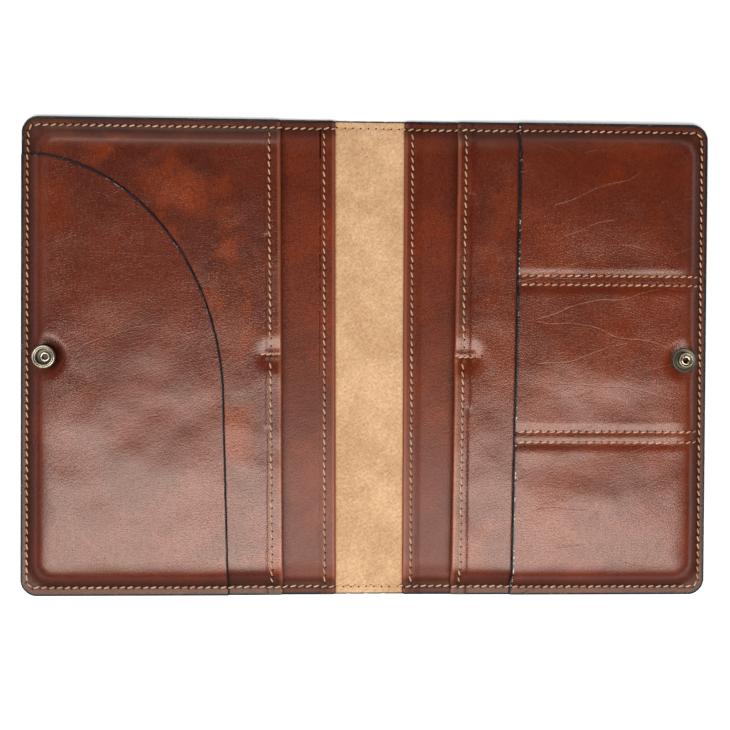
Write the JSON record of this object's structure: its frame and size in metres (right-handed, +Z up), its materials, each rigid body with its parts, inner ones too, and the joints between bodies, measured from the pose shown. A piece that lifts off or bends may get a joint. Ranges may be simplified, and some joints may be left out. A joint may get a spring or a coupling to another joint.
{
  "type": "passport holder",
  "caption": "Leather travel passport holder that folds like a book, with passport pockets, card pockets, a document pocket and a press snap.",
  "frame": {"origin": "on the table under the middle of the fold, with the holder lying open and flat", "axes": "+X across the open holder towards the card pockets, +Y along the fold towards the top edge, +Z up from the table"},
  "size_m": [0.29, 0.201, 0.0112],
  "materials": {
    "cover_leather": "glazed full grain, reddish brown",
    "panel_leather": "glazed full grain, reddish brown, with black painted edges",
    "flesh_leather": "matt natural flesh side",
    "thread": "waxed tan thread",
    "snap_metal": "antique, rubbed bright on the edges",
    "snap_spring": "satin"
  },
  "bodies": {
    "left_side": {"left_cover": "cover_leather", "left_slip_panel": "panel_leather", "left_passport_panel": "panel_leather", "document_pocket": "panel_leather", "left_outer_seam_thread": "thread", "left_slip_hem_thread": "thread", "left_passport_hem_thread": "thread", "left_passport_divider_thread": "thread", "snap_socket_body": "snap_metal", "snap_socket_spring": "snap_spring", "snap_socket_post": "snap_metal"},
    "spine_1": {"spine_strip_1": "flesh_leather", "spine_seam_thread_1": "thread"},
    "spine_2": {"spine_strip_2": "flesh_leather", "spine_seam_thread_2": "thread"},
    "spine_3": {"spine_strip_3": "flesh_leather", "spine_seam_thread_3": "thread"},
    "right_side": {"right_cover": "cover_leather", "right_slip_panel": "panel_leather", "right_passport_panel": "panel_leather", "card_pocket_panel": "panel_leather", "right_outer_seam_thread": "thread", "right_slip_hem_thread": "thread", "right_passport_hem_thread": "thread", "right_passport_divider_thread": "thread", "upper_card_divider_thread": "thread", "lower_card_divider_thread": "thread", "snap_stud_body": "snap_metal", "snap_stud_post": "snap_metal"}
  },
  "joints": [
    {"name": "spine_fold_1", "type": "hinge", "parent": "left_side", "child": "spine_1", "pos_m": [-0.01106, 0, 0.00065], "axis": [0, -1, 0], "range_deg": [0, 45]},
    {"name": "spine_fold_2", "type": "hinge", "parent": "spine_1", "child": "spine_2", "pos_m": [-0.00369, 0, 0.00065], "axis": [0, -1, 0], "range_deg": [0, 45]},
    {"name": "spine_fold_3", "type": "hinge", "parent": "spine_2", "child": "spine_3", "pos_m": [0.00369, 0, 0.00065], "axis": [0, -1, 0], "range_deg": [0, 45]},
    {"name": "spine_fold_4", "type": "hinge", "parent": "spine_3", "child": "right_side", "pos_m": [0.01106, 0, 0.00065], "axis": [0, -1, 0], "range_deg": [0, 45]}
  ]
}
